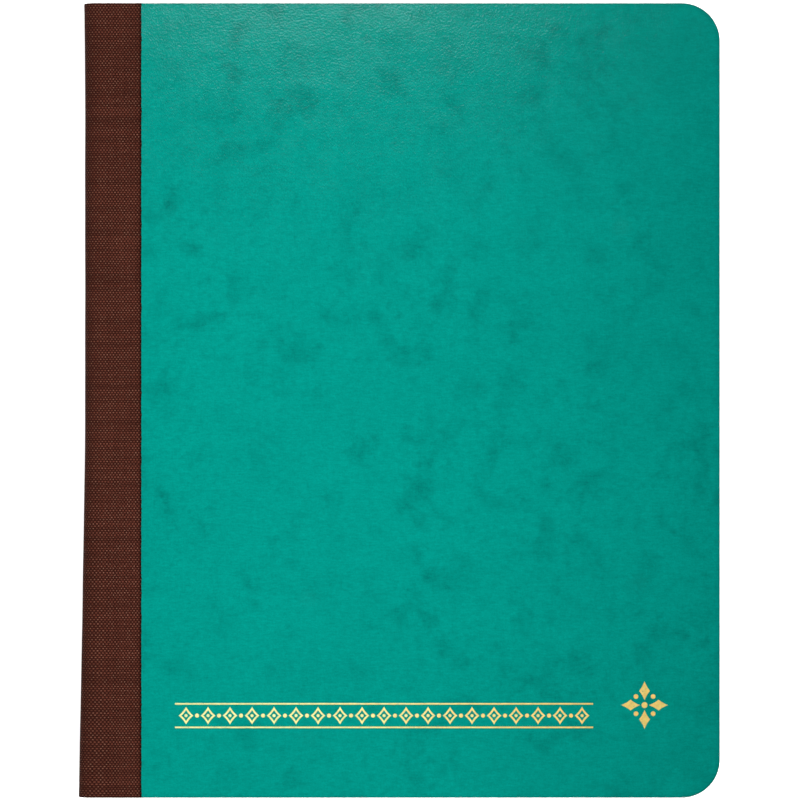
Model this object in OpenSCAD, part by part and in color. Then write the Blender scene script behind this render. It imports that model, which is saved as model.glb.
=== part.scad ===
// Quarter-cloth account book, sewn in sections through the folds and cut flush.
// It lies closed on its back cover. X runs from the spine to the fore edge, Y from tail to head and
// Z through the thickness. The origin is at the middle of the underside, below the closed book.

/* [Book] */
// Width from the spine to the fore edge
book_w = 200; // [150:1:300]
// Height from tail to head
book_h = 250; // [180:1:350]
// Radius of the two corners at the fore edge
corner_r = 12; // [4:1:25]

/* [Leaves] */
// Sewn sections in the book, an even number so that the middle opening lies between two of them
section_count = 4; // [2:2:4]
// Folded sheets in one section, each of which makes two leaves
sheets_per_section = 5; // [2:1:5]
// Thickness of a leaf
leaf_t = 0.1; // [0.06:0.01:0.16]
// Air between one leaf and the next
leaf_gap = 0.02; // [0.01:0.01:0.05]
// Straight stretch of a sheet between its fold and the line where the leaf turns
fold_leg = 0.15; // [0.1:0.05:0.4]
// Gap at the line where a leaf turns
turn_gap = 0.05; // [0.03:0.01:0.1]

/* [Sewing] */
// Diameter of the sewing thread
thread_d = 0.16; // [0.1:0.02:0.24]
// How far a sewing hole draws the thread in, on each side
thread_draw = 0.02; // [0.01:0.005:0.03]
// Room round the thread
thread_clear = 0.02; // [0.01:0.01:0.05]
// Sewing holes along one fold, an even number
hole_count = 6; // [4:2:12]
// Distance from head or tail to the nearest sewing hole
hole_inset = 15; // [8:1:40]
// Length of the thread's end that lies along the back
thread_tail = 4; // [2:0.5:8]

/* [Covers] */
// Thickness of a cover board
board_t = 0.7; // [0.5:0.05:1.2]
// Distance of a board from the line where its cover turns
board_set_back = 0.5; // [0.2:0.1:3]
// Thickness of the binding cloth
cloth_t = 0.25; // [0.15:0.05:0.35]
// Height of the cloth above the face of the board
cloth_proud = 0.1; // [0.05:0.05:0.15]
// Width of cloth seen on a cover, from the spine edge
cloth_lap = 18; // [10:0.5:40]
// Gap in the cloth at the line where a cover turns
cloth_joint_gap = 0.1; // [0.05:0.05:0.4]
// Thickness of the spine lining
lining_t = 0.15; // [0.1:0.05:0.25]
// Glue between the cloth and the spine lining
glue_t = 0.02; // [0.01:0.01:0.05]

/* [Endpapers] */
// Thickness of an endpaper
endpaper_t = 0.14; // [0.08:0.02:0.2]
// Distance of an endpaper from the line where its cover turns
endpaper_set_back = 0.3; // [0.2:0.1:2]

/* [Hidden] */
$fn = 96;
cut_over = 1;

// One section: folds nested round the thread, with the outer face of the last sheet at section_r
fold_pitch = leaf_t + leaf_gap;
fold_bore_r = thread_d / 2 + thread_clear;
section_r = fold_bore_r + sheets_per_section * fold_pitch - leaf_gap;
section_pitch = 2 * section_r + leaf_gap;
leaves_per_section = 2 * sheets_per_section;
leaf_count = section_count * leaves_per_section;

// Thickness of the closed book, built up from the back cover
pastedown_z = cloth_proud + board_t;
flyleaf_z = pastedown_z + endpaper_t + leaf_gap;
sections_z = flyleaf_z + endpaper_t + leaf_gap;
book_t = 2 * sections_z + section_count * section_pitch - leaf_gap;
mid_z = book_t / 2;

// The rounded spine is half a cylinder, as wide as the book is thick
spine_x = -book_w / 2;
fore_x = book_w / 2;
spine_r = book_t / 2;
turn_x = spine_x + spine_r;
lap_x = spine_x + cloth_lap;
board_x = turn_x + board_set_back;
endpaper_x = turn_x + endpaper_set_back;
lining_r = spine_r - cloth_t - glue_t;
lining_bore_r = lining_r - lining_t;

// The sections follow the round of the spine and leave room for the thread on their backs
thread_room = thread_d + 2 * thread_clear;
section_path_r = lining_bore_r - thread_room - section_r;
thread_neck_d = thread_d - 2 * thread_draw;
hole_d = thread_neck_d + 2 * thread_clear;
hole_step = (book_h - 2 * hole_inset) / (hole_count - 1);

board_colour = [0.01, 0.55, 0.49];
cloth_colour = [0.3, 0.16, 0.13];
paper_colour = [0.95, 0.94, 0.88];
endpaper_colour = [0.9, 0.88, 0.8];
lining_colour = [0.82, 0.8, 0.74];
thread_colour = [0.93, 0.91, 0.84];

// Sections count from the front cover, which is on top
function section_z(s) = mid_z + ((section_count + 1) / 2 - s) * section_pitch;
function section_x(s) = turn_x - sqrt(pow(section_path_r, 2) - pow(section_z(s) - mid_z, 2));
function fold_inner_r(sheet) = fold_bore_r + (sheet - 1) * fold_pitch;

// Leaves count from the front cover too; a leaf in the first half of a section lies above its thread
function leaf_section(k) = ceil(k / leaves_per_section);
function leaf_place(k) = k - (leaf_section(k) - 1) * leaves_per_section;
function leaf_above(k) = leaf_place(k) <= sheets_per_section;
function leaf_sheet(k) = leaf_above(k)
    ? sheets_per_section + 1 - leaf_place(k)
    : leaf_place(k) - sheets_per_section;
function leaf_side(k) = leaf_above(k) ? 1 : -1;
function leaf_off_thread(k) = fold_inner_r(leaf_sheet(k)) + leaf_t / 2;
function leaf_z(k) = section_z(leaf_section(k)) + leaf_side(k) * leaf_off_thread(k);
function leaf_name(k) = str(k < 10 ? "leaf_0" : "leaf_", k);
function folds_name(s) = str("section_", s, "_folds");
function hole_y(i) = -book_h / 2 + hole_inset + (i - 1) * hole_step;

// Turns what is built for the back cover over, for the front cover
module turned_over() {
    translate([0, 0, book_t]) mirror([0, 0, 1]) children();
}

// Outline of everything that is trimmed together, with round corners at the fore edge
module trimmed_outline(start_x) {
    difference() {
        square([book_w, book_h], center = true);
        corner_cut();
        mirror([0, 1]) corner_cut();
        translate([spine_x - cut_over, -book_h / 2 - cut_over])
            square([start_x - spine_x + cut_over, book_h + 2 * cut_over]);
    }
}

// What the corner cutter takes off at the head
module corner_cut() {
    translate([fore_x - corner_r, book_h / 2 - corner_r]) difference() {
        square(corner_r + cut_over);
        circle(corner_r);
    }
}

// A flat sheet from start_x to the fore edge, with its underside at bottom_z
module trimmed_sheet(start_x, bottom_z, thickness) {
    translate([0, 0, bottom_z]) linear_extrude(thickness) trimmed_outline(start_x);
}

// Board with a shallow rebate on its outer face that takes part of the cloth's thickness
module cover_board() {
    difference() {
        trimmed_sheet(board_x, cloth_proud, board_t);
        translate([board_x - cut_over, -book_h / 2 - cut_over, cloth_t - cut_over])
            cube([lap_x - board_x + cut_over, book_h + 2 * cut_over, cut_over]);
    }
}

module front_board() {
    color(board_colour) turned_over() cover_board();
}

module back_board() {
    color(board_colour) cover_board();
}

// Cloth on one cover, from the line where the cover turns to the edge of the lap
module cover_cloth() {
    translate([turn_x + cloth_joint_gap, -book_h / 2, 0])
        cube([lap_x - turn_x - cloth_joint_gap, book_h, cloth_t]);
}

module front_cloth() {
    color(cloth_colour) turned_over() cover_cloth();
}

module back_cloth() {
    color(cloth_colour) cover_cloth();
}

// Lower quarter of a tube along the spine, from the middle of the spine to the back cover
module spine_quarter(outer_r, thickness) {
    translate([turn_x, 0, mid_z]) rotate([90, 0, 0]) linear_extrude(book_h, center = true)
        intersection() {
            difference() {
                circle(outer_r);
                circle(outer_r - thickness);
            }
            translate([-outer_r - cut_over, -outer_r - cut_over]) square(outer_r + cut_over);
        }
}

module spine_cloth_upper() {
    color(cloth_colour) turned_over() spine_quarter(spine_r, cloth_t);
}

module spine_cloth_lower() {
    color(cloth_colour) spine_quarter(spine_r, cloth_t);
}

module spine_lining_upper() {
    color(lining_colour) turned_over() spine_quarter(lining_r, lining_t);
}

module spine_lining_lower() {
    color(lining_colour) spine_quarter(lining_r, lining_t);
}

// Half of the folded endpaper that is pasted to the board
module front_pastedown() {
    color(endpaper_colour) turned_over() trimmed_sheet(endpaper_x, pastedown_z, endpaper_t);
}

module back_pastedown() {
    color(endpaper_colour) trimmed_sheet(endpaper_x, pastedown_z, endpaper_t);
}

// Free half of the folded endpaper
module front_flyleaf() {
    color(endpaper_colour) turned_over() trimmed_sheet(endpaper_x, flyleaf_z, endpaper_t);
}

module back_flyleaf() {
    color(endpaper_colour) trimmed_sheet(endpaper_x, flyleaf_z, endpaper_t);
}

// Section through one folded sheet: a half round with a short straight leg on each side
module fold_profile(inner_r) {
    difference() {
        circle(inner_r + leaf_t);
        circle(inner_r);
        translate([0, -inner_r - leaf_t - cut_over])
            square([inner_r + leaf_t + cut_over, 2 * (inner_r + leaf_t + cut_over)]);
    }
    translate([0, inner_r]) square([fold_leg, leaf_t]);
    translate([0, -inner_r - leaf_t]) square([fold_leg, leaf_t]);
}

// Backs of the folded sheets of section s, nested in each other and pierced for the thread
module section_folds(s) {
    color(paper_colour) translate([section_x(s), 0, section_z(s)]) difference() {
        rotate([90, 0, 0]) linear_extrude(book_h, center = true)
            for (sheet = [1:sheets_per_section]) fold_profile(fold_inner_r(sheet));
        for (i = [1:hole_count])
            translate([-section_r - cut_over, hole_y(i), 0]) rotate([0, 90, 0])
                cylinder(h = section_r + cut_over, d = hole_d);
    }
}

// Straight run of thread between two places along a fold, at distance x from the fold's centre
module thread_run(x, from_y, to_y) {
    translate([x, from_y - thread_d / 2, 0]) rotate([-90, 0, 0])
        cylinder(h = to_y - from_y + thread_d, d = thread_d);
}

// Running stitch through the fold of section s, with both ends brought out to the back
module section_stitches(s) {
    back_x = -section_r - thread_clear - thread_d / 2;
    translate([section_x(s), 0, section_z(s)]) {
        for (i = [1:hole_count])
            translate([back_x, hole_y(i), 0]) rotate([0, 90, 0]) cylinder(h = -back_x, d = thread_neck_d);
        for (i = [1:2:hole_count - 1]) thread_run(0, hole_y(i), hole_y(i + 1));
        for (i = [2:2:hole_count - 2]) thread_run(back_x, hole_y(i), hole_y(i + 1));
        thread_run(back_x, hole_y(1) - thread_tail, hole_y(1));
        thread_run(back_x, hole_y(hole_count), hole_y(hole_count) + thread_tail);
    }
}

module sewing_thread_upper() {
    color(thread_colour) for (s = [1:section_count / 2]) section_stitches(s);
}

module sewing_thread_lower() {
    color(thread_colour) for (s = [section_count / 2 + 1:section_count]) section_stitches(s);
}

// One leaf, from the line beside its fold where it turns to the fore edge
module leaf(k) {
    start_x = section_x(leaf_section(k)) + fold_leg + turn_gap;
    color(paper_colour) trimmed_sheet(start_x, leaf_z(k) - leaf_t / 2, leaf_t);
}

front_board();
back_board();
front_cloth();
back_cloth();
spine_cloth_upper();
spine_cloth_lower();
spine_lining_upper();
spine_lining_lower();
front_pastedown();
back_pastedown();
front_flyleaf();
back_flyleaf();
sewing_thread_upper();
sewing_thread_lower();
for (s = [1:section_count]) section_folds(s);
for (k = [1:leaf_count]) leaf(k);
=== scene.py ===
"""Looks of the quarter-cloth account book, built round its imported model."""
import math
import random

import bmesh
import bpy
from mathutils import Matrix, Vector


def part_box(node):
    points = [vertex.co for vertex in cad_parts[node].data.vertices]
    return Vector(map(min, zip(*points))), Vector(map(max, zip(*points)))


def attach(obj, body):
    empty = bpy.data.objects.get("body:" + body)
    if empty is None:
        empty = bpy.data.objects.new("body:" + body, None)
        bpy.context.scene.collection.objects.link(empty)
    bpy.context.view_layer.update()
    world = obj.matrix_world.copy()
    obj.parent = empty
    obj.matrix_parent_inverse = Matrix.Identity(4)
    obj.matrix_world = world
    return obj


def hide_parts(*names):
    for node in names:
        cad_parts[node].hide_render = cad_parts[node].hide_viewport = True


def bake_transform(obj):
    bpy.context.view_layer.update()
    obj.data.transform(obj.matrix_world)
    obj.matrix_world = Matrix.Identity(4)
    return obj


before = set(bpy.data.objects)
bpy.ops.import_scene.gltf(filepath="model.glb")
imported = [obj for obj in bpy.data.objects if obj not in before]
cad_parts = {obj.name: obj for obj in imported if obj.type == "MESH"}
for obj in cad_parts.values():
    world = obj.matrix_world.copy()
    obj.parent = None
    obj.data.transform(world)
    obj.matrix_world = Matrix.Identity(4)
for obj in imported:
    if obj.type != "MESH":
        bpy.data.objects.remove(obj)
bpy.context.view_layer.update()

MM = 0.001

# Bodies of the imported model, and how many leaves and sections it has
ROOT = "lower_block"
UPPER = "upper_block"
FRONT = "front_cover"
BACK = "back_cover"
LEAVES = 40
SECTIONS = 4

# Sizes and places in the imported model, in metres
cloth_low, cloth_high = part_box("front_cloth")
spine_low, spine_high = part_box("spine_cloth_upper")
board_low, board_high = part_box("front_board")
lining_low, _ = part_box("spine_lining_upper")
SPINE_X = spine_low.x
TURN_X = spine_high.x
BOARD_X = board_low.x
LAP_X = cloth_high.x
FORE_X = board_high.x
HALF_H = board_high.y
MID_Z = spine_low.z
BOARD_TOP_Z = board_high.z
TOP_Z = cloth_high.z
CLOTH_T = cloth_high.z - cloth_low.z
SPINE_R = TURN_X - SPINE_X
LINING_R = TURN_X - lining_low.x
LINING_T = 0.15 * MM
CORNER_R = 12 * MM


class Look:
    """A procedural material, with short calls for the nodes it is made of."""

    def __init__(self, name, roughness=0.6, specular=0.5, **fixed):
        self.material = bpy.data.materials.new(name)
        self.material.use_nodes = True
        self.tree = self.material.node_tree
        self.tree.nodes.clear()
        out = self.node("ShaderNodeOutputMaterial")
        self.shader = self.node("ShaderNodeBsdfPrincipled")
        self.tree.links.new(self.shader.outputs["BSDF"], out.inputs["Surface"])
        self.shader.inputs["Roughness"].default_value = roughness
        self.shader.inputs["Specular IOR Level"].default_value = specular
        for socket, value in fixed.items():
            self.shader.inputs[socket.replace("_", " ")].default_value = value

    def node(self, kind, **settings):
        """A new node with the given settings."""
        made = self.tree.nodes.new(kind)
        for key, value in settings.items():
            setattr(made, key, value)
        return made

    def put(self, socket, value):
        """Links a node's output to the socket, or sets a constant on it."""
        if isinstance(value, bpy.types.NodeSocket):
            self.tree.links.new(value, socket)
        else:
            socket.default_value = value

    def math(self, operation, a, b=0.0, c=0.0):
        """Result of an arithmetic node."""
        made = self.node("ShaderNodeMath", operation=operation)
        for socket, value in zip(made.inputs, (a, b, c)):
            self.put(socket, value)
        return made.outputs[0]

    def plus(self, *terms):
        """Sum of the terms."""
        total = terms[0]
        for term in terms[1:]:
            total = self.math("ADD", total, term)
        return total

    def times(self, *factors):
        """Product of the factors."""
        product = factors[0]
        for factor in factors[1:]:
            product = self.math("MULTIPLY", product, factor)
        return product

    def ramp(self, value, slope, start):
        """The value times slope, plus start."""
        return self.math("MULTIPLY_ADD", value, slope, start)

    def swing(self, value, share, middle=0.0):
        """A number that swings by share about its middle, as the value goes from 0 to 1."""
        return self.ramp(value, share, middle - share / 2)

    def rise(self, value, low, high, to_low=0.0, to_high=1.0):
        """A smooth change from to_low to to_high, as the value goes from low to high."""
        made = self.node("ShaderNodeMapRange", interpolation_type="SMOOTHSTEP")
        for socket, setting in zip(made.inputs, (value, low, high, to_low, to_high)):
            self.put(socket, setting)
        return made.outputs[0]

    def split(self, vector):
        """The three parts of a vector or colour."""
        made = self.node("ShaderNodeSeparateXYZ")
        self.put(made.inputs[0], vector)
        return made.outputs

    def join(self, x, y, z=0.0):
        """A vector of three numbers."""
        made = self.node("ShaderNodeCombineXYZ")
        for socket, value in zip(made.inputs, (x, y, z)):
            self.put(socket, value)
        return made.outputs[0]

    def scaled(self, vector, size):
        """The vector in units of a size, or of one size for each axis."""
        sizes = size if isinstance(size, tuple) else (size, size, size)
        made = self.node("ShaderNodeVectorMath", operation="MULTIPLY")
        self.put(made.inputs[0], vector)
        self.put(made.inputs[1], tuple(1 / s for s in sizes))
        return made.outputs[0]

    def place(self):
        """Place on the piece, in millimetres."""
        return self.scaled(self.node("ShaderNodeTexCoord").outputs["Object"], MM)

    def flat(self):
        """Place on the sheet as cut, in millimetres from its map."""
        return self.node("ShaderNodeUVMap", uv_map="cut").outputs[0]

    def attribute(self, name):
        """A number that the mesh's points carry."""
        return self.node("ShaderNodeAttribute", attribute_name=name).outputs["Fac"]

    def noise(self, vector, size, detail=2.0, roughness=0.5, twist=0.0):
        """Noise with features of the given size or sizes, in the unit of the vector."""
        made = self.node("ShaderNodeTexNoise")
        self.put(made.inputs["Vector"], self.scaled(vector, size))
        made.inputs["Scale"].default_value = 1.0
        made.inputs["Detail"].default_value = detail
        made.inputs["Roughness"].default_value = roughness
        made.inputs["Distortion"].default_value = twist
        return made.outputs[0]

    def dice(self, vector):
        """An even random number for each whole place."""
        made = self.node("ShaderNodeTexWhiteNoise", noise_dimensions="3D")
        self.put(made.inputs["Vector"], vector)
        return made.outputs["Value"]

    def mix(self, share, a, b):
        """Colour a, with a share of colour b. The node has its colours after its numbers and vectors."""
        made = self.node("ShaderNodeMix", data_type="RGBA")
        self.put(made.inputs[0], share)
        for socket, value in ((made.inputs[6], a), (made.inputs[7], b)):
            self.put(socket, value if isinstance(value, bpy.types.NodeSocket) else (*value, 1.0))
        return made.outputs[2]

    def shade(self, colour, amount):
        """The colour times a number."""
        made = self.node("ShaderNodeVectorMath", operation="SCALE")
        self.put(made.inputs[0], colour)
        self.put(made.inputs["Scale"], amount)
        return made.outputs[0]

    def bump(self, height, depth, strength=1.0, under=None):
        """Normal of a relief as deep as depth, on top of the relief under it."""
        made = self.node("ShaderNodeBump")
        made.inputs["Strength"].default_value = strength
        made.inputs["Distance"].default_value = depth
        self.put(made.inputs["Height"], height)
        if under is not None:
            self.put(made.inputs["Normal"], under)
        return made.outputs[0]

    def finish(self, colour, roughness=None, normal=None):
        """The material, with what its surface looks like."""
        self.put(self.shader.inputs["Base Color"], colour)
        if roughness is not None:
            self.put(self.shader.inputs["Roughness"], roughness)
        if normal is not None:
            self.put(self.shader.inputs["Normal"], normal)
        return self.material


# Board: its colour, and how much of its tone each pattern takes away or swings by
BOARD_COLOUR = (0.0003, 0.289, 0.234)
CLOUD_SHARE = 0.23
SMALL_CLOUD_SHARE = 0.12
HAZE_SHARE = 0.14
FIBRE_SHARE = 0.42
CROSS_FIBRE_SHARE = 0.12
GRAIN_SHARE = 0.34

# Cells that can hold a matt spot, in millimetres, and the share of them that hold none
MATT_CELL = (27.0, 23.0, 25.0)
NO_SPOT_SHARE = 0.55

# Depth of the slow waves in the glaze and of its fine tooth
GLAZE_WAVE = 0.16 * MM
GLAZE_TOOTH = 0.026 * MM


def board_tone(look, place, grain):
    """Brightness of the board's face, with its mottling, fibres, grain, and an edge darkened partly by wear
    and partly by painted shade.
    """
    cluster = look.rise(look.noise(place, 34.0), 0.38, 0.64, to_low=0.35)
    cloud = look.rise(look.noise(place, 10.0, detail=3.0, roughness=0.55), 0.47, 0.74)
    small_cloud = look.rise(look.noise(place, 3.6), 0.5, 0.76)
    haze = look.noise(place, (15.0, 12.0, 14.0), detail=3.0, roughness=0.6)
    fibre = look.noise(place, (2.2, 0.55, 1.0), roughness=0.6)
    cross_fibre = look.noise(place, (0.6, 2.6, 1.0), detail=1.0)
    tone = look.swing(look.noise(place, 60.0, detail=1.0), 0.1, middle=1.03)
    tone = look.math("SUBTRACT", tone, look.times(cluster, cloud, CLOUD_SHARE))
    tone = look.math("SUBTRACT", tone, look.times(cluster, small_cloud, SMALL_CLOUD_SHARE))
    tone = look.plus(
        tone,
        look.swing(haze, HAZE_SHARE),
        look.swing(fibre, FIBRE_SHARE),
        look.swing(cross_fibre, CROSS_FIBRE_SHARE),
        look.swing(grain, GRAIN_SHARE),
    )
    # Darker edge: partly wear, partly painted shade along the board's outline
    worn_and_shaded = look.times(look.attribute("edge"), look.swing(look.noise(place, 3.0), 0.5, middle=0.6))
    return look.times(tone, look.math("SUBTRACT", 1.0, worn_and_shaded))


def board_material():
    """Glazed pressboard: cloudy mottling, fine fibres across, a fine grain, and an edge darkened partly by
    wear and partly by painted shade.
    """
    look = Look("glazed_pressboard", specular=0.4)
    place = look.place()
    grain = look.noise(place, 0.5, detail=1.0)
    colour = look.shade(BOARD_COLOUR, board_tone(look, place, grain))
    cell = look.node("ShaderNodeTexVoronoi", feature="F1")
    look.put(cell.inputs["Vector"], look.scaled(place, MATT_CELL))
    cell.inputs["Scale"].default_value = 1.0
    spot = look.rise(cell.outputs["Distance"], 0.07, 0.17, to_low=1.0, to_high=0.0)
    chosen = look.math("GREATER_THAN", look.split(cell.outputs["Color"])[0], NO_SPOT_SHARE)
    rough = look.plus(
        look.swing(look.noise(place, 7.0, detail=3.0), 0.1, middle=0.1),
        look.times(grain, 0.05),
        look.times(spot, chosen, 0.07),
    )
    normal = look.bump(look.noise(place, 24.0), GLAZE_WAVE)
    normal = look.bump(look.noise(place, (0.46, 0.6, 1.0), detail=0.0), GLAZE_TOOTH, under=normal)
    return look.finish(colour, rough, normal)


# Cut edge of the board: the dyed fibres, the paler fuzz on them, and the relief of the layers
CORE_COLOUR = (0.006, 0.17, 0.135)
FUZZ_COLOUR = (0.08, 0.26, 0.22)
CORE_RELIEF = 0.03 * MM


def board_core_material():
    """Cut edge of the board: layers of dyed fibre."""
    look = Look("board_edge", roughness=0.8, specular=0.2)
    place = look.place()
    layer = look.noise(place, (1.6, 1.6, 0.07))
    fuzz = look.noise(place, 0.3)
    tone = look.plus(look.swing(layer, 0.7, middle=0.6), look.times(fuzz, 0.3))
    colour = look.mix(look.rise(fuzz, 0.55, 0.75), CORE_COLOUR, FUZZ_COLOUR)
    return look.finish(look.shade(colour, tone), normal=look.bump(layer, CORE_RELIEF, strength=0.7))


# Book cloth: pitch of its threads in millimetres, and by how many threads they sway
WARP_PITCH = 0.5
WEFT_PITCH = 0.7
WARP_SWAY = 0.8
WEFT_SWAY = 0.6

# Colours of the cloth, and how much the starch shows and the cut edge is darker, partly from fray and partly
# as painted shade of its step onto the board
WARP_COLOUR = (0.042, 0.0118, 0.0078)
WEFT_COLOUR = (0.124, 0.036, 0.0225)
STARCH_COLOUR = (0.36, 0.22, 0.15)
STARCH_SHARE = 0.6
CUT_FRAY_AND_SHADE_SHARE = 0.8

# Relief of the cloth, and a thread's height where it passes under, as a share
CLOTH_RELIEF = 0.09 * MM
UNDER_HEIGHT = 0.4

# Seeds of the differences between warp threads, weft threads and crossings
WARP_SEED = 3.0
WEFT_SEED = 7.0
CROSSING_SEED = 5.0

# Painted shade of the spine's round: a darker tone along the middle of the spine, and where it fades out, in
# millimetres from that middle
SPINE_SHADE_TONE = 0.74
SPINE_SHADE_FROM = 1.5
SPINE_SHADE_TO = 7.5


def hump(look, threads):
    """Height across each thread: 0 at its edges, 1 on its back."""
    return look.math("SINE", look.times(look.math("FRACT", threads), math.pi))


def cloth_material():
    """Plain-weave book cloth: dark warp, redder weft, starch specks, painted shade between the threads and
    along the middle of the spine, and a cut edge darkened partly by fray and partly by painted shade.
    """
    look = Look("book_cloth", specular=0.02)
    place = look.flat()
    u, v, _ = look.split(place)
    sway = look.noise(place, (6.0, 3.0, 1.0))
    warp = look.plus(look.math("DIVIDE", u, WARP_PITCH), look.swing(sway, WARP_SWAY))
    weft = look.plus(look.math("DIVIDE", v, WEFT_PITCH), look.swing(sway, WEFT_SWAY))
    warp_no = look.math("FLOOR", warp)
    weft_no = look.math("FLOOR", weft)
    over = look.math("MODULO", look.math("ABSOLUTE", look.plus(warp_no, weft_no)), 2.0)
    across_warp = hump(look, warp)
    across_weft = hump(look, weft)
    warp_up = look.times(across_warp, look.ramp(over, slope=1.0 - UNDER_HEIGHT, start=UNDER_HEIGHT))
    weft_up = look.times(across_weft, look.ramp(over, slope=UNDER_HEIGHT - 1.0, start=1.0))
    height = look.math("MAXIMUM", warp_up, weft_up)
    warp_tone = look.swing(look.dice(look.join(warp_no, WARP_SEED)), 0.5, middle=1.0)
    weft_tone = look.swing(look.dice(look.join(WEFT_SEED, weft_no)), 0.4, middle=1.0)
    shows_weft = look.math("GREATER_THAN", weft_up, warp_up)
    colour = look.mix(shows_weft, look.shade(WARP_COLOUR, warp_tone), look.shade(WEFT_COLOUR, weft_tone))
    starch = look.rise(look.dice(look.join(warp_no, weft_no, CROSSING_SEED)), 0.3, 1.0)
    crossing = look.rise(look.times(across_warp, across_weft), 0.72, 0.95)
    speck = look.times(starch, crossing, look.math("SUBTRACT", 1.0, over))
    colour = look.mix(look.times(speck, STARCH_SHARE), colour, STARCH_COLOUR)
    tone = look.times(
        # Painted shade: darker in the hollows between threads and where a thread passes under
        look.ramp(height, slope=0.95, start=0.2),
        look.swing(look.noise(place, (7.0, 30.0, 1.0)), 0.3, middle=1.0),
        # Darker cut edge: partly fray, partly painted shade of the step where the cloth ends on the board
        look.ramp(look.attribute("edge"), slope=-CUT_FRAY_AND_SHADE_SHARE, start=1.0),
        # Painted shade: darker along the middle of the spine, where its round turns away from the light
        look.rise(look.math("ABSOLUTE", u), SPINE_SHADE_FROM, SPINE_SHADE_TO, to_low=SPINE_SHADE_TONE),
    )
    fuzz = look.noise(place, 0.18)
    normal = look.bump(look.plus(height, look.times(fuzz, 0.25)), CLOTH_RELIEF, strength=0.9)
    return look.finish(look.shade(colour, tone), look.swing(fuzz, 0.2, middle=0.72), normal)


# Mull: pitch of its threads in millimetres, relief, and the colours of the thread and of thin and thick glue
MULL_PITCH = 0.9
MULL_RELIEF = 0.05 * MM
MULL_COLOUR = (0.72, 0.68, 0.58)
THIN_GLUE_COLOUR = (0.42, 0.34, 0.2)
THICK_GLUE_COLOUR = (0.6, 0.53, 0.38)


def mull_material():
    """Starched mull on the backs of the sections: an open weave filled with glue."""
    look = Look("starched_mull", specular=0.3)
    place = look.flat()
    u, v, _ = look.split(place)
    warp = look.math("SINE", look.times(u, 2 * math.pi / MULL_PITCH))
    weft = look.math("SINE", look.times(v, 2 * math.pi / MULL_PITCH))
    thread = look.math("MAXIMUM", warp, weft)
    glue = look.noise(place, (1.5, 4.0, 1.0), detail=3.0)
    ground = look.mix(glue, THIN_GLUE_COLOUR, THICK_GLUE_COLOUR)
    colour = look.mix(look.rise(thread, 0.2, 0.8), ground, MULL_COLOUR)
    normal = look.bump(thread, MULL_RELIEF, strength=0.7)
    return look.finish(colour, look.swing(glue, 0.4, middle=0.6), normal)


# Papers: their colours
LEDGER_COLOUR = (0.83, 0.8, 0.69)
LEDGER_EDGE_COLOUR = (0.76, 0.71, 0.57)
GLUED_FOLD_COLOUR = (0.78, 0.73, 0.6)
ENDPAPER_COLOUR = (0.72, 0.66, 0.52)
HAIR_COLOUR = (0.3, 0.25, 0.18)
SPOT_COLOUR = (0.5, 0.38, 0.22)

# How much the leaves differ from each other, and how much hairs and spots show in the endpapers
TINT_SHARE = 0.06
HAIR_SHARE = 0.4
SPOT_SHARE = 0.25

# Relief of the fibres and of the creases in the folds
FIBRE_RELIEF = 0.01 * MM
CREASE_RELIEF = 0.02 * MM


def paper(name, base, mottle=0.05):
    """Start of an uncoated paper: (look, place, colour, normal)."""
    look = Look(name, roughness=0.85, specular=0.25)
    place = look.flat()
    fibre = look.noise(place, (0.9, 0.25, 1.0))
    tone = look.plus(
        look.swing(look.noise(place, 9.0, detail=3.0), mottle, middle=1.0),
        look.swing(fibre, mottle),
        look.swing(look.attribute("tint"), TINT_SHARE),
    )
    return look, place, look.shade(base, tone), look.bump(fibre, FIBRE_RELIEF, strength=0.6)


# Ruling of a leaf, in millimetres from its fold and from the middle of its height
FEINT_PITCH = 8.0
FEINT_HEAD = 98.0
FEINT_TAIL = -116.0
COLUMN_RULES = (24.0, 25.2, 48.0, 118.0, 119.2, 142.0, 166.0, 167.2, 186.0)
COLUMN_RULE_W = 0.22
HEAD_RULES = (FEINT_HEAD + 4.0, FEINT_HEAD + 5.4)
HEAD_RULE_W = 0.3
RULE_SOFTNESS = 0.08

# Half the width of a feint line at full ink and with its soft edge, as shares of the pitch
FEINT_FULL = 0.012
FEINT_SOFT = 0.022

# Inks of the ruling
FEINT_COLOUR = (0.3, 0.5, 0.62)
FEINT_STRENGTH = 0.75
RULE_COLOUR = (0.55, 0.09, 0.08)


def rule(look, place, at, width):
    """1 on a ruled line, 0 off it."""
    off = look.math("ABSOLUTE", look.math("SUBTRACT", place, at))
    return look.rise(off, width * 0.5, width * 0.5 + RULE_SOFTNESS, to_low=1.0, to_high=0.0)


def with_feint(look, colour, v):
    """The colour with the evenly spaced pale lines across a leaf on it."""
    pitches = look.math("FRACT", look.math("DIVIDE", v, FEINT_PITCH))
    from_middle = look.math("ABSOLUTE", look.math("SUBTRACT", pitches, 0.5))
    feint = look.rise(from_middle, 0.5 - FEINT_SOFT, 0.5 - FEINT_FULL)
    below_head = look.math("LESS_THAN", v, FEINT_HEAD)
    above_tail = look.math("GREATER_THAN", v, FEINT_TAIL)
    ink = look.times(feint, look.times(below_head, above_tail), FEINT_STRENGTH)
    return look.mix(ink, colour, FEINT_COLOUR)


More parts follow.
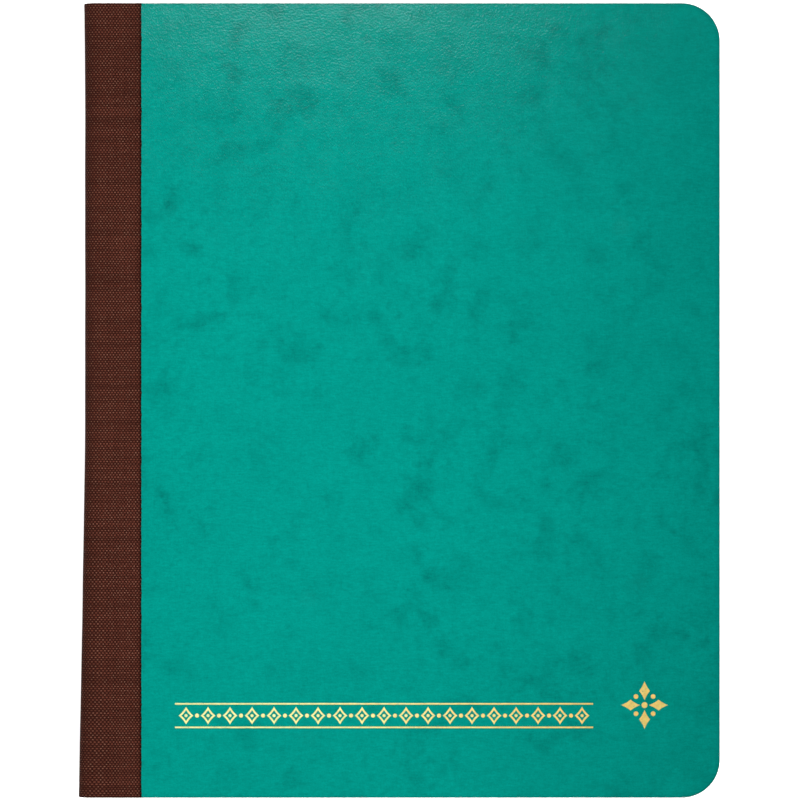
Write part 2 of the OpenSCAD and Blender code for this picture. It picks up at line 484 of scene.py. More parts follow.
def page_material():
    """Ledger paper with pale blue feint lines and red column rules on both sides."""
    look, place, colour, normal = paper("ruled_ledger_paper", LEDGER_COLOUR)
    u, v, _ = look.split(place)
    colour = with_feint(look, colour, v)
    rules = [rule(look, v, at, HEAD_RULE_W) for at in HEAD_RULES]
    rules += [rule(look, u, at, COLUMN_RULE_W) for at in COLUMN_RULES]
    ruled = rules[0]
    for other in rules[1:]:
        ruled = look.math("MAXIMUM", ruled, other)
    ink = look.swing(look.noise(place, (1.2, 1.2, 1.0)), 0.4, middle=0.7)
    return look.finish(look.mix(look.times(ruled, ink), colour, RULE_COLOUR), normal=normal)


def page_edge_material():
    """Cut edges of the leaves, a little toned by handling."""
    look, _, colour, normal = paper("cut_leaf_edges", LEDGER_EDGE_COLOUR, mottle=0.16)
    dust = look.noise(look.place(), (14.0, 14.0, 0.4), detail=3.0)
    return look.finish(look.shade(colour, look.swing(dust, 0.5, middle=0.97)), normal=normal)


def endpaper_material():
    """Plain endpaper with short coloured fibres in it."""
    look, place, colour, normal = paper("endpaper", ENDPAPER_COLOUR, mottle=0.1)
    hair = look.rise(look.noise(place, (1.7, 0.22, 1.0), detail=1.0, twist=1.4), 0.7, 0.78)
    colour = look.mix(look.times(hair, HAIR_SHARE), colour, HAIR_COLOUR)
    spot = look.rise(look.noise(place, 5.0), 0.68, 0.8)
    return look.finish(look.mix(look.times(spot, SPOT_SHARE), colour, SPOT_COLOUR), normal=normal)


def fold_material():
    """Folded backs of the ruled sheets, slightly toned by the glue behind them."""
    look = Look("folded_backs", roughness=0.85, specular=0.25)
    place = look.place()
    glue = look.noise(place, (0.8, 5.0, 0.8), detail=3.0)
    crease = look.noise(place, (0.2, 1.5, 0.2))
    colour = look.mix(look.rise(glue, 0.4, 0.75), LEDGER_COLOUR, GLUED_FOLD_COLOUR)
    colour = with_feint(look, colour, look.split(place)[1])
    return look.finish(colour, normal=look.bump(crease, CREASE_RELIEF, strength=0.7))


# Thread: turns of its twist in a millimetre, its relief, and its colours
THREAD_TWIST = 3.0
THREAD_RELIEF = 0.02 * MM
THREAD_COLOUR = (0.74, 0.69, 0.56)
SLUB_COLOUR = (0.84, 0.8, 0.7)


def thread_material():
    """Waxed linen thread with a twist."""
    look = Look("linen_thread", specular=0.35, Sheen_Weight=0.1)
    place = look.flat()
    u, v, _ = look.split(place)
    turns = look.plus(look.times(v, THREAD_TWIST), u)
    ply = look.math("SINE", look.times(turns, 2 * math.pi))
    slub = look.noise(place, (1.0, 2.5, 1.0))
    # Painted shade: darker in the grooves between the plies of the twist
    tone = look.plus(look.ramp(ply, slope=0.18, start=0.7), look.times(slub, 0.3))
    colour = look.shade(look.mix(slub, THREAD_COLOUR, SLUB_COLOUR), tone)
    normal = look.bump(ply, THREAD_RELIEF, strength=0.8)
    return look.finish(colour, look.swing(slub, 0.3, middle=0.55), normal)


# Gold foil: its colours, where each is purest, in millimetres, what shows where it has gone, and its relief.
# The change from lemon to amber across the cover is a painted reflection
LEMON_COLOUR = (0.95, 0.99, 0.41)
AMBER_COLOUR = (1.0, 0.75, 0.205)
LEMON_REFLECTION_X = -60.0
AMBER_REFLECTION_X = 85.0
BARE_COLOUR = (0.25, 0.4, 0.25)
BARE_SHARE = 0.6
FOIL_RELIEF = 0.01 * MM


def gilt_material():
    """Gold foil, pressed on and a little rubbed, with a painted reflection from lemon beside the spine to
    amber at the fore edge.
    """
    look = Look("gold_foil", Metallic=0.2)
    place = look.place()
    rub = look.noise(place, 1.1, detail=3.0, roughness=0.6)
    grain = look.noise(place, 0.5, detail=1.0)
    # Painted reflection: the foil's colour turns from lemon to amber across the cover
    amber = look.rise(look.split(place)[0], LEMON_REFLECTION_X, AMBER_REFLECTION_X)
    amber = look.plus(amber, look.swing(look.noise(place, 2.4), 0.8))
    colour = look.shade(look.mix(amber, LEMON_COLOUR, AMBER_COLOUR), look.swing(rub, 0.5, middle=0.96))
    gone = look.rise(grain, 0.67, 0.77)
    colour = look.mix(look.times(gone, BARE_SHARE), colour, BARE_COLOUR)
    normal = look.bump(grain, FOIL_RELIEF, strength=0.6)
    return look.finish(colour, look.swing(rub, 0.3, middle=0.4), normal)


BOARD = board_material()
BOARD_CORE = board_core_material()
CLOTH = cloth_material()
MULL = mull_material()
PAGE = page_material()
PAGE_EDGE = page_edge_material()
ENDPAPER = endpaper_material()
FOLD = fold_material()
THREAD = thread_material()
GILT = gilt_material()

# Which of a piece's materials is on its cut edges, and the angle from which an edge is sharp
EDGE_MATERIAL = 1
SHARP = math.radians(38)


def add_object(name, data):
    """A new object in the scene."""
    made = bpy.data.objects.new(name, data)
    bpy.context.scene.collection.objects.link(made)
    return made


def piece(name, bm, materials, cut=None, marks=None):
    """The object of a finished bmesh.

    cut gives each vertex its place on the sheet as cut, in metres. marks gives each vertex numbers by name.
    """
    bm.verts.index_update()
    bmesh.ops.recalc_face_normals(bm, faces=bm.faces[:])
    for face in bm.faces:
        face.smooth = True
    for edge in bm.edges:
        edge.smooth = len(edge.link_faces) == 2 and edge.calc_face_angle(0.0) < SHARP
    if cut is not None:
        layer = bm.loops.layers.uv.new("cut")
        for face in bm.faces:
            for loop in face.loops:
                u, v = cut[loop.vert.index]
                loop[layer].uv = (u / MM, v / MM)
    mesh = bpy.data.meshes.new(name)
    bm.to_mesh(mesh)
    bm.free()
    for key, values in (marks or {}).items():
        mesh.attributes.new(key, "FLOAT", "POINT").data.foreach_set("value", values)
    for material in materials:
        mesh.materials.append(material)
    return add_object(name, mesh)


def wall(bm, ring, following, material=0):
    """Faces from one ring of vertices to the following one."""
    count = len(ring)
    for i in range(count):
        after = (i + 1) % count
        face = bm.faces.new((ring[i], ring[after], following[after], following[i]))
        face.material_index = material


def even(low, high, steps):
    """Evenly spaced numbers from low to high."""
    return [low + (high - low) * i / steps for i in range(steps + 1)]


def half_height(x):
    """Half the height of a trimmed sheet at x: the corners at the fore edge are round."""
    over = max(x - (FORE_X - CORNER_R), 0.0)
    return HALF_H - CORNER_R + math.sqrt(max(CORNER_R**2 - over**2, 0.0))


CORNER_STEPS = 10


def corner_columns():
    """Places along X round a fore-edge corner."""
    turns = even(0.0, math.pi / 2, CORNER_STEPS)
    return [FORE_X - CORNER_R + CORNER_R * math.sin(turn) for turn in turns]


def sheet(name, path, thickness, rows, materials, move=None, edge=None, tint=0.5, from_u=0.0, sense=1.0):
    """A sheet with thickness along a path of (x, z, normal x, normal z), with rows from tail to head.

    materials holds the faces' material and the rim's. move shifts a point and edge marks it, given its
    place along the path in metres and its row. That place starts at from_u and grows with the sense.
    """
    bm = bmesh.new()
    along = [from_u]
    for (x0, z0, *_), (x1, z1, *_) in zip(path, path[1:]):
        along.append(along[-1] + sense * math.hypot(x1 - x0, z1 - z0))
    cut = []
    edges = []
    layers = []
    for side in (0.5, -0.5):
        grid = []
        for (x, z, normal_x, normal_z), u in zip(path, along):
            column = []
            for share in rows:
                y = share * half_height(x)
                spot = Vector((x + side * thickness * normal_x, y, z + side * thickness * normal_z))
                if move is not None:
                    spot = move(spot, u, share)
                column.append(bm.verts.new(spot))
                cut.append((u, y))
                edges.append(edge(u, share) if edge else 0.0)
            grid.append(column)
        layers.append(grid)
    front, back = layers
    columns = len(path)
    last = len(rows) - 1
    for i in range(columns - 1):
        for j in range(last):
            bm.faces.new((front[i][j], front[i + 1][j], front[i + 1][j + 1], front[i][j + 1]))
            bm.faces.new((back[i][j], back[i][j + 1], back[i + 1][j + 1], back[i + 1][j]))
    rim = []
    for i in range(columns - 1):
        for j in (0, last):
            rim.append((front[i][j], front[i + 1][j], back[i + 1][j], back[i][j]))
    for j in range(last):
        for i in (0, columns - 1):
            rim.append((front[i][j], front[i][j + 1], back[i][j + 1], back[i][j]))
    for corners in rim:
        bm.faces.new(corners).material_index = EDGE_MATERIAL
    marks = {"edge": edges, "tint": [tint] * len(edges)}
    return piece(name, bm, materials, cut, marks)


# Board: its soft outer edge, the rings of its outer face in millimetres from that edge, and a corner's steps
SOFT_EDGE = 0.16 * MM
SOFT_STEPS = 5
FACE_RINGS = (0.06, 0.35, 1.2)
ROUND_STEPS = 24

# Darkening of each ring of a board, from its inner face up its edge and onto its outer face: partly wear,
# partly painted shade along the outline
EDGE_WEAR_AND_SHADE = (1.0, 1.0, 1.0, 0.95, 0.85, 0.7, 0.55, 0.5, 0.12, 0.0)


def plate_profile(inner, outer, outward):
    """(inset, z) of each ring of a board, from its inner face up its edge and onto its outer face."""
    profile = [(0.0, inner), (0.0, outer - outward * SOFT_EDGE)]
    for turn in even(0.0, math.pi / 2, SOFT_STEPS)[1:]:
        inset = SOFT_EDGE * (1 - math.cos(turn))
        profile.append((inset, outer - outward * SOFT_EDGE * (1 - math.sin(turn))))
    return profile + [(SOFT_EDGE + off * MM, outer) for off in FACE_RINGS]


def plate_outline(inset):
    """Outline of a board beside the cloth, moved in by the inset, with round corners at the fore edge."""
    radius = CORNER_R - inset
    spots = [(LAP_X, -HALF_H + inset)]
    for side, first in ((-1, -90), (1, 0)):
        for degrees in even(first, first + 90, ROUND_STEPS):
            turn = math.radians(degrees)
            x = FORE_X - CORNER_R + radius * math.cos(turn)
            y = side * (HALF_H - CORNER_R) + radius * math.sin(turn)
            spots.append((x, y))
    spots.append((LAP_X, HALF_H - inset))
    return spots


def plate(name, node, body, outward):
    """Cover board with softened edges on its outer face, and a thinner tongue that the cloth covers."""
    low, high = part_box(node)
    outer, inner = (high.z, low.z) if outward > 0 else (low.z, high.z)
    bm = bmesh.new()
    rings = []
    edges = []
    for (inset, z), mark in zip(plate_profile(inner, outer, outward), EDGE_WEAR_AND_SHADE):
        outline = plate_outline(inset)
        rings.append([bm.verts.new((x, y, z)) for x, y in outline])
        edges += [mark] * len(outline)
    wall(bm, rings[0], rings[1], EDGE_MATERIAL)
    for ring, following in zip(rings[1:], rings[2:]):
        wall(bm, ring, following)
    bm.faces.new(rings[0]).material_index = EDGE_MATERIAL
    bm.faces.new(rings[-1])
    under = outer - outward * (CLOTH_T - abs(TOP_Z - BOARD_TOP_Z))
    end_x = LAP_X + SOFT_EDGE
    corners = ((BOARD_X, -HALF_H), (end_x, -HALF_H), (end_x, HALF_H), (BOARD_X, HALF_H))
    tongue = [[bm.verts.new((x, y, z)) for x, y in corners] for z in (inner, under)]
    edges += [1.0] * (2 * len(corners))
    wall(bm, tongue[0], tongue[1], EDGE_MATERIAL)
    for face in tongue:
        bm.faces.new(face).material_index = EDGE_MATERIAL
    made = piece(name, bm, [BOARD, BOARD_CORE], None, {"edge": edges})
    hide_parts(node)
    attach(made, body)


# The spine's cloth stands a little away from the folds towards the tail, and hardly at the head
FLARE = 2.0 * MM
FLARE_FROM = -6 * MM
FLARE_POWER = 1.2
HEAD_FLARE = 0.28 * MM
HEAD_FROM = 90 * MM
FLARE_ROOT = TURN_X + 5 * MM


def flare(spot):
    """The spot moved out by the flare, which grows smoothly from its root to the spine."""
    tail = max((FLARE_FROM - spot.y) / (FLARE_FROM + HALF_H), 0.0)
    head = max((spot.y - HEAD_FROM) / (HALF_H - HEAD_FROM), 0.0)
    share = min(max((FLARE_ROOT - spot.x) / (FLARE_ROOT - SPINE_X), 0.0), 1.0)
    spot.x -= (FLARE * tail**FLARE_POWER + HEAD_FLARE * head**2) * share * share * (3 - 2 * share)
    return spot


# Round of the spine: radius and quarter turn of the cloth's middle layer, and the steps of a quarter turn
CLOTH_R = SPINE_R - CLOTH_T / 2
CLOTH_ARC = math.pi / 2 * CLOTH_R
ARC_STEPS = 26

# Rows of the cloth and of the mull, from tail to head
CLOTH_ROWS = 360
MULL_ROWS = 80

# How far past each turn the cloth's round reaches, and where each lap starts
BEND_FROM = 0.1 * MM


def half_round(radius):
    """Path round the spine, from the turn of the back cover to the turn of the front cover."""
    path = []
    for turn in even(-math.pi / 2, math.pi / 2, 2 * ARC_STEPS):
        out = math.cos(turn)
        up = math.sin(turn)
        path.append((TURN_X - radius * out, MID_Z + radius * up, -out, up))
    return path


def spine_mull():
    """Lining of the spine: one strip over the backs of all sections."""
    r = LINING_R - LINING_T / 2
    made = sheet("spine_mull", half_round(r), LINING_T, even(-1, 1, MULL_ROWS), [MULL, MULL])
    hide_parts("spine_lining_upper", "spine_lining_lower")
    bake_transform(made)


# Soft corners of the spine's cloth at head and tail: how far round, how deep and how sudden they are
SOFT_CORNER = 1.6 * MM
CORNER_DIP = 0.55 * MM
CORNER_POWER = 21

# Waves along the spine's cloth: their depth, and for each the millimetres to a radian and the phase
WAVE_DEPTH = 0.02 * MM
LONG_WAVE = 9.0
LONG_PHASE = 0.7
SHORT_WAVE = 4.1
SHORT_PHASE = 2.1
SHORT_SHARE = 0.7


def spine_edge(spot, u, share):
    """Shape of the spine's cloth: flared, a little wavy, with soft corners at head and tail."""
    spot = flare(spot)
    middle = max(1 - abs(u) / SOFT_CORNER, 0.0) ** 2
    spot.y -= share**CORNER_POWER * middle * CORNER_DIP
    y = spot.y / MM
    wave = math.sin(y / LONG_WAVE + LONG_PHASE)
    wave += SHORT_SHARE * math.sin(y / SHORT_WAVE + SHORT_PHASE + u / MM)
    spot.x -= WAVE_DEPTH * wave * max(1 - abs(u) / CLOTH_ARC, 0.0)
    return spot


def spine_cloth():
    """Middle of the binding cloth, round the spine to just past both turns."""
    first = (TURN_X + BEND_FROM, MID_Z - CLOTH_R, 0.0, -1.0)
    last = (TURN_X + BEND_FROM, MID_Z + CLOTH_R, 0.0, 1.0)
    path = [first] + half_round(CLOTH_R) + [last]
    rows = even(-1, 1, CLOTH_ROWS)
    start = -CLOTH_ARC - BEND_FROM
    made = sheet("spine_binding_cloth", path, CLOTH_T, rows, [CLOTH, CLOTH], spine_edge, from_u=start)
    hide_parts("spine_cloth_upper", "spine_cloth_lower")
    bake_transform(made)


# Columns of a cloth lap, in millimetres from the turn: close together where it bends and at its cut edge
LAP_COLUMNS = (
    0.2, 0.3, 0.4, 0.5, 0.6, 0.7, 0.8, 0.9, 1.2, 1.6, 2.2, 3.2, 4.4, 6.0, 8.0, 10.0, 12.0, 13.2, 13.8
)

# Ragged cut of a cloth lap: its depth, what makes up for smoothing it, where on the lap it starts, and seeds
EDGE_RAGGED = 0.11 * MM
RAGGED_GAIN = 1.6
RAGGED_FROM = 0.96
LAP_SEEDS = {FRONT: 17, BACK: 18}

# Dark line along the cut, and the toned strip beside it: partly darker fray, partly painted shade of the
# cloth's step onto the board
CUT_LINE = 0.05 * MM
CUT_STRIP = 0.36 * MM
STRIP_MARK = 0.75


def ragged_cut(seed):
    """Shift of the cloth's cut edge at each row, in metres, smoothed over three rows."""
    dice = random.Random(seed)
    cuts = [dice.uniform(-1, 1) for _ in range(CLOTH_ROWS + 1)]
    means = [sum(cuts[max(i - 1, 0):i + 2]) / 3 for i in range(CLOTH_ROWS + 1)]
    return [mean * RAGGED_GAIN * EDGE_RAGGED for mean in means]


def cloth_lap(name, up, node, cover):
    """Side of the binding cloth, from the turn over the hinge to its cut edge on the board."""
    z = MID_Z + up * CLOTH_R
    length = LAP_X - TURN_X - BEND_FROM
    from_u = CLOTH_ARC + BEND_FROM
    shifts = ragged_cut(LAP_SEEDS[cover])

    def move(spot, u, share):
        reach = (abs(u) - from_u) / length
        shift = shifts[round((share + 1) / 2 * CLOTH_ROWS)]
        spot.x += shift * max(reach - RAGGED_FROM, 0.0) / (1 - RAGGED_FROM)
        return flare(spot)

    def edge(u, _):
        from_cut = from_u + length - abs(u)
        if from_cut < CUT_LINE:
            return 1.0
        return STRIP_MARK if from_cut < CUT_STRIP else 0.0

    xs = [TURN_X + BEND_FROM] + [TURN_X + off * MM for off in LAP_COLUMNS] + [LAP_X]
    path = [(x, z, 0.0, up) for x in xs]
    rows = even(-1, 1, CLOTH_ROWS)
    made = sheet(name, path, CLOTH_T, rows, [CLOTH, CLOTH], move, edge, from_u=up * from_u, sense=up)
    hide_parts(node)
    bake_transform(made)


# Columns of a leaf, in millimetres from its fold: close together where it bends
LEAF_COLUMNS = (0, 0.5, 1.2, 2.2, 3.5, 5, 7, 9.5, 12.5, 16, 20, 25, 31, 38, 46, 56, 72, 96, 124, 152)
LEAF_ROWS = even(-1, 1, 8)

# How far a leaf reaches past its solid to its fold
LEAF_TUCK = 0.05 * MM

# Differences between trimmed leaves: at the fore edge in millimetres, and in height as a share
LEAF_SEED = 5
TRIM_RANGE = (-0.06, 0.02)
TRIM_FROM = FORE_X - 10 * MM
HEIGHT_RANGE = (0.9996, 1.0001)


def leaf_path(start, z, trim):
    """Path of a leaf whose fore edge is moved by the trim."""
    path = []
    for x in [start + off * MM for off in LEAF_COLUMNS] + corner_columns():
        moved = trim * max(x - TRIM_FROM, 0.0) / (FORE_X - TRIM_FROM)
        path.append((x + moved, z, 0.0, 1.0))
    return path


def leaves():
    """Ruled leaves and free endpapers, with their columns close together beside their folds."""
    dice = random.Random(LEAF_SEED)
    pages = {f"leaf_{k:02d}": f"page_{k:02d}" for k in range(1, LEAVES + 1)}
    flyleaves = {"front_flyleaf": "front_free_endpaper", "back_flyleaf": "back_free_endpaper"}
    for node, name in (pages | flyleaves).items():
        is_page = node in pages
        low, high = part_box(node)
        z = (low.z + high.z) / 2
        tint = dice.random()
        trim = dice.uniform(*TRIM_RANGE) * MM
        height = dice.uniform(*HEIGHT_RANGE)
        start = low.x - (LEAF_TUCK if is_page else 0.0)
        rows = [share * height for share in LEAF_ROWS]
        faces = [PAGE, PAGE_EDGE] if is_page else [ENDPAPER, ENDPAPER]
        leaf = sheet(name, leaf_path(start, z, trim), high.z - low.z, rows, faces, tint=tint)
        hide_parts(node)
        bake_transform(leaf)


# Columns of a pasted endpaper, in millimetres from its edge at the spine
PASTED_COLUMNS = (0, 1, 3, 8, 20, 45, 80, 120, 160)


def pasted_endpaper(name, node, cover, tint):
    """Half of an endpaper that is glued to its board."""
    low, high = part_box(node)
    z = (low.z + high.z) / 2
    xs = [low.x + off * MM for off in PASTED_COLUMNS] + corner_columns()
    path = [(x, z, 0.0, 1.0) for x in xs]
    made = sheet(name, path, high.z - low.z, LEAF_ROWS, [ENDPAPER, ENDPAPER], tint=tint)
    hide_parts(node)
    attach(made, cover)


# Fold of an endpaper: its thickness, its reach onto both halves, and its steps
ENDPAPER_FOLD_T = 0.03 * MM
FOLD_REACH = 0.1 * MM
FOLD_STEPS = 14


def endpaper_fold(name, node, fly):
    """Fold of an endpaper, between the half on the board and the free half."""
    low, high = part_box(node)
    fly_low, fly_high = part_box(fly)
    z = (low.z + high.z) / 2
    fly_z = (fly_low.z + fly_high.z) / 2
    middle = (z + fly_z) / 2
    radius = abs(z - fly_z) / 2
    way = 1.0 if z > fly_z else -1.0
    path = [(low.x + FOLD_REACH, z, 0.0, way)]
    for turn in even(0.0, math.pi, FOLD_STEPS):
        out = math.sin(turn)
        up = way * math.cos(turn)
        path.append((low.x - radius * out, middle + radius * up, -out, up))
    path.append((low.x + FOLD_REACH, fly_z, 0.0, -way))
    made = sheet(name, path, ENDPAPER_FOLD_T, LEAF_ROWS, [ENDPAPER, ENDPAPER])
    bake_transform(made)


# Sewing: holes in each fold, the thread and its loose ends
HOLES = 6
HOLE_INSET = 15 * MM
THREAD_D = 0.16 * MM
THREAD_CLEAR = 0.02 * MM
THREAD_TAIL = 4 * MM
THREAD_SIDES = 10

# How near a hole the thread starts to bend, and how far through, as a share, it is straight in the hole
STITCH_BEND = 0.3 * MM
HOLE_ENTRY = 0.3


def stitch_points(section):
    """Way of the thread through one section: out to the back, in to the fold, and so on."""
    low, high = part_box(f"section_{section}_folds")
    z = (low.z + high.z) / 2
    fold_x = low.x + (high.z - low.z) / 2
    back_x = low.x - THREAD_CLEAR - THREAD_D / 2
    ys = even(-HALF_H + HOLE_INSET, HALF_H - HOLE_INSET, HOLES - 1)
    ways = [(back_x, ys[0] - THREAD_TAIL)]
    for i, y in enumerate(ys):
        first, then = (back_x, fold_x) if i % 2 == 0 else (fold_x, back_x)
        entry = first + (then - first) * HOLE_ENTRY
        leaving = then + (first - then) * HOLE_ENTRY
        ways += [(first, y - STITCH_BEND), (first, y - STITCH_BEND / 3), (entry, y)]
        ways += [(leaving, y), (then, y + STITCH_BEND / 3), (then, y + STITCH_BEND)]
    ways.append((back_x, ys[-1] + THREAD_TAIL))
    return [Vector((x, y, z)) for x, y in ways]


def sewing(name, node, sections, body):
    """Threads of some sections, each a tube along its stitches."""
    bm = bmesh.new()
    cut = []
    side = Vector((0, 0, 1))
    for section in sections:
        points = stitch_points(section)
        rings = []
        far = 0.0
        for before, spot, after in zip(points[:1] + points, points, points[1:] + points[-1:]):
            other = (after - before).normalized().cross(side)
            far += (spot - before).length
            ring = []
            for i in range(THREAD_SIDES):
                turn = 2 * math.pi * i / THREAD_SIDES
                out = side * math.cos(turn) + other * math.sin(turn)
                ring.append(bm.verts.new(spot + out * THREAD_D / 2))
                cut.append((MM * i / THREAD_SIDES, far))
            rings.append(ring)
        for ring, following in zip(rings, rings[1:]):
            wall(bm, ring, following)
        bm.faces.new(rings[0])
        bm.faces.new(rings[-1])
    made = piece(name, bm, [THREAD], cut)
    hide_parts(node)
    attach(made, body)


FOIL_T = 0.02 * MM


def foil(name, shapes):
    """Gold foil pressed on the front cover: shapes are outlines in millimetres, each with a hole or None."""
    bm = bmesh.new()
    levels = (BOARD_TOP_Z - FOIL_T, BOARD_TOP_Z + FOIL_T)
    for outline, hole in shapes:
        loops = []
        for ring in (outline, hole) if hole else (outline,):
            loops.append([[bm.verts.new((x * MM, y * MM, z)) for x, y in ring] for z in levels])
        for below, above in loops:
            wall(bm, below, above)
        if hole:
            for outer, inner in zip(*loops):
                wall(bm, outer, inner)
        else:
            for face in loops[0]:
                bm.faces.new(face)
    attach(piece(name, bm, [GILT]), FRONT)


# Shapes of the gilding: points on each side of a lozenge and round a bead, and how far a side curves in
LOZENGE_STEPS = 6
LOZENGE_HOLLOW = 0.1
BEAD_STEPS = 24


def lozenge(x, y, wide, high):
    """Outline of a lozenge whose sides curve in a little."""
    tips = [(x + wide / 2, y), (x, y + high / 2), (x - wide / 2, y), (x, y - high / 2)]
    spots = []
    for (x0, y0), (x1, y1) in zip(tips, tips[1:] + tips[:1]):
        for i in range(LOZENGE_STEPS):
            share = i / LOZENGE_STEPS
            dip = LOZENGE_HOLLOW * 4 * share * (1 - share)
            side_x = x0 + (x1 - x0) * share
            side_y = y0 + (y1 - y0) * share
            spots.append((side_x + (x - side_x) * dip, side_y + (y - side_y) * dip))
    return spots


def bead(x, y, d):
    """Outline of a round bead."""
    turns = [2 * math.pi * i / BEAD_STEPS for i in range(BEAD_STEPS)]
    return [(x + d / 2 * math.cos(turn), y + d / 2 * math.sin(turn)) for turn in turns]


def bar(x0, x1, y0, y1):
    """Outline of a straight bar."""
    return [(x0, y0), (x1, y0), (x1, y1), (x0, y1)]


# Gilt roll, in millimetres: its place, its two fillets, and its lozenges with beads in and between them
ROLL_LEFT = -71.4
ROLL_RIGHT = 60.1
ROLL_LOW = -103.1
ROLL_HIGH = -95.2
FILLET_W = 0.5
LOZENGES = 19
LOZENGE_OUTER = (4.6, 5.6)
LOZENGE_INNER = (2.9, 3.5)
INNER_BEAD_D = 1.0
BETWEEN_BEAD_D = 1.3


def gilt_roll():
    """A roll of lozenges and beads between two fillets."""
    middle = (ROLL_LOW + ROLL_HIGH) / 2
    step = (ROLL_RIGHT - ROLL_LEFT) / LOZENGES
    shapes = [
        (bar(ROLL_LEFT, ROLL_RIGHT, ROLL_LOW, ROLL_LOW + FILLET_W), None),
        (bar(ROLL_LEFT, ROLL_RIGHT, ROLL_HIGH - FILLET_W, ROLL_HIGH), None),
    ]
    for i in range(LOZENGES):
        x = ROLL_LEFT + step * (i + 0.5)
        shapes.append((lozenge(x, middle, *LOZENGE_OUTER), lozenge(x, middle, *LOZENGE_INNER)))
        shapes.append((bead(x, middle, INNER_BEAD_D), None))
        if i > 0:
            shapes.append((bead(x - step / 2, middle, BETWEEN_BEAD_D), None))
    foil("gilt_roll", shapes)


# Gilt fleuron, in millimetres: its middle, its four petals, and its five beads
FLEURON_X = 76.3
FLEURON_Y = -95.85
PETAL_W = 3.4
PETAL_LENGTH = 6.0
PETAL_OFF_X = 4.4
PETAL_OFF_Y = 4.5
MIDDLE_BEAD_D = 1.9
OUTER_BEAD_D = 1.5
OUTER_BEAD_OFF = 2.7


def gilt_fleuron():
    """A small fleuron of four lozenges, with beads in its middle and between them."""
    shapes = [(bead(FLEURON_X, FLEURON_Y, MIDDLE_BEAD_D), None)]
    for side_x, side_y in ((0, 1), (1, 0), (0, -1), (-1, 0)):
        size = (PETAL_W, PETAL_LENGTH) if side_x == 0 else (PETAL_LENGTH, PETAL_W)
        x = FLEURON_X + side_x * PETAL_OFF_X
        y = FLEURON_Y + side_y * PETAL_OFF_Y
        shapes.append((lozenge(x, y, *size), None))
    for side_x in (-1, 1):
        for side_y in (-1, 1):
            x = FLEURON_X + side_x * OUTER_BEAD_OFF
            y = FLEURON_Y + side_y * OUTER_BEAD_OFF
            shapes.append((bead(x, y, OUTER_BEAD_D), None))
    foil("gilt_fleuron", shapes)


plate("front_cover_plate", "front_board", FRONT, 1)
plate("back_cover_plate", "back_board", BACK, -1)
spine_mull()
spine_cloth()
cloth_lap("front_cloth_lap", 1, "front_cloth", FRONT)
cloth_lap("back_cloth_lap", -1, "back_cloth", BACK)
leaves()
pasted_endpaper("front_pasted_endpaper", "front_pastedown", FRONT, tint=0.6)
pasted_endpaper("back_pasted_endpaper", "back_pastedown", BACK, tint=0.4)
endpaper_fold("front_endpaper_fold", "front_pastedown", "front_flyleaf")
endpaper_fold("back_endpaper_fold", "back_pastedown", "back_flyleaf")
sewing("sewing_upper", "sewing_thread_upper", (1, 2), UPPER)
sewing("sewing_lower", "sewing_thread_lower", (3, 4), ROOT)
for section in range(1, SECTIONS + 1):
    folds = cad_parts[f"section_{section}_folds"]
    folds.data.materials.clear()
    folds.data.materials.append(FOLD)
gilt_roll()
gilt_fleuron()

# Stage, in metres: a pale floor a little below the book, which curves up far away
FLOOR_Z = -2.8 * MM
FLOOR_RADII = (0.4, 1.2, 2.6)
WALL_TURN = 0.6
WALL_STEPS = 12
STAGE_SIDES = 72
FLOOR_COLOUR = (0.82, 0.82, 0.81, 1)

# Glow of the floor near the book and far away, and between which distances it fades, in millimetres
NEAR_GLOW = 1.0
FAR_GLOW = 0.7
FADE_FROM = 300.0
FADE_TO = 1500.0


def floor_material():
    """Pale floor that glows most near the book."""
    look = Look("pale_floor", roughness=0.9, specular=0.1)
    look.shader.inputs["Emission Color"].default_value = (1, 1, 1, 1)
    x, y, _ = look.split(look.place())
    distance = look.math("SQRT", look.plus(look.times(x, x), look.times(y, y)))
    glow = look.rise(distance, FADE_FROM, FADE_TO, to_low=NEAR_GLOW, to_high=FAR_GLOW)
    look.put(look.shader.inputs["Emission Strength"], glow)
    return look.finish(FLOOR_COLOUR)


def stage():
    """Floor round the book, with its rim turned up."""
    profile = [(radius, FLOOR_Z) for radius in FLOOR_RADII]
    for turn in even(0.0, math.pi / 2, WALL_STEPS)[1:]:
        rim_x = FLOOR_RADII[-1] + WALL_TURN * math.sin(turn)
        profile.append((rim_x, FLOOR_Z + WALL_TURN * (1 - math.cos(turn))))
    bm = bmesh.new()
    turns = [2 * math.pi * i / STAGE_SIDES for i in range(STAGE_SIDES)]
    rings = []
    for radius, z in profile:
        rings.append([bm.verts.new((radius * math.cos(turn), radius * math.sin(turn), z)) for turn in turns])
    bm.faces.new(rings[0])
    for inner, outer in zip(rings, rings[1:]):
        wall(bm, outer, inner)
    mesh = bpy.data.meshes.new("stage_floor")
    bm.to_mesh(mesh)
    bm.free()
    for face in mesh.polygons:
        face.use_smooth = True
    mesh.materials.append(floor_material())
    made = add_object("stage_floor", mesh)


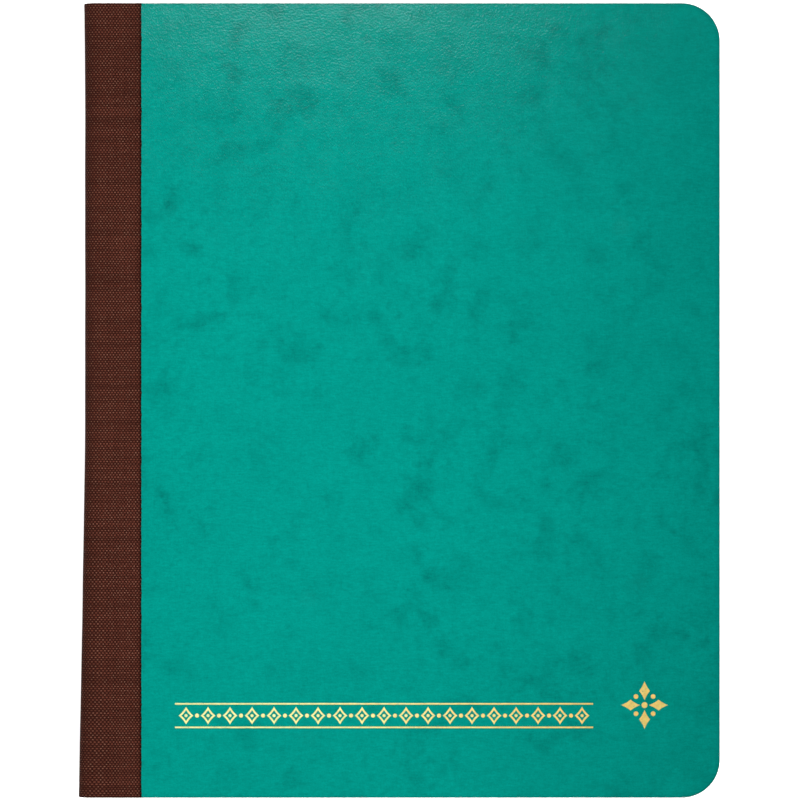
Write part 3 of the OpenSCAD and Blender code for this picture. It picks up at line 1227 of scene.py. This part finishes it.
# Lamps, in metres, watts and degrees: a narrow key light from the head and from the tail, and a softbox
KEY_X = 0.14
KEY_Y = 0.86
KEY_Z = 0.8
KEY_AIM = (-0.06, 0.0, 0.0)
KEY_SIZE = (0.3, 0.4)
KEY_POWER = 0.465
KEY_SPREAD = 31
SOFTBOX_X = -0.045
SOFTBOX_Y = 0.43
SOFTBOX_Z = 1.1
SOFTBOX_SIZE = (0.2, 0.34)
SOFTBOX_POWER = 0.94
SOFTBOX_SPREAD = 180
WORLD_STRENGTH = 0.015


def lamp(name, spot, aim, size, power, spread):
    """Area light at a spot, turned to its aim and not seen by the camera."""
    data = bpy.data.lights.new(name, "AREA")
    data.shape = "RECTANGLE"
    data.size, data.size_y = size
    data.energy = power
    data.spread = math.radians(spread)
    made = add_object(name, data)
    made.location = spot
    made.rotation_euler = (Vector(aim) - Vector(spot)).to_track_quat("-Z", "Y").to_euler()
    made.visible_camera = False


stage()
lamp("key_head", (KEY_X, KEY_Y, KEY_Z), KEY_AIM, KEY_SIZE, KEY_POWER, KEY_SPREAD)
lamp("key_tail", (KEY_X, -KEY_Y, KEY_Z), KEY_AIM, KEY_SIZE, KEY_POWER, KEY_SPREAD)
softbox_spot = (SOFTBOX_X, SOFTBOX_Y, SOFTBOX_Z)
softbox_aim = (SOFTBOX_X, SOFTBOX_Y, 0.0)
lamp("head_softbox", softbox_spot, softbox_aim, SOFTBOX_SIZE, SOFTBOX_POWER, SOFTBOX_SPREAD)

world = bpy.data.worlds.new("studio")
world.use_nodes = True
world.node_tree.nodes["Background"].inputs["Color"].default_value = (1, 1, 1, 1)
world.node_tree.nodes["Background"].inputs["Strength"].default_value = WORLD_STRENGTH
bpy.context.scene.world = world

# Camera straight above the front cover: its place, and the width it sees at the cover's height
CAMERA_X = -0.63 * MM
CAMERA_Y = 0.13 * MM
CAMERA_ABOVE = 1.2
SEEN_WIDE = 0.25165
camera = bpy.data.cameras.new("camera")
camera.sensor_width = 36
camera.lens = camera.sensor_width * CAMERA_ABOVE / SEEN_WIDE
eye = add_object("camera", camera)
eye.location = (CAMERA_X, CAMERA_Y, TOP_Z + CAMERA_ABOVE)
bpy.context.scene.camera = eye
bpy.context.scene.view_settings.view_transform = "Standard"
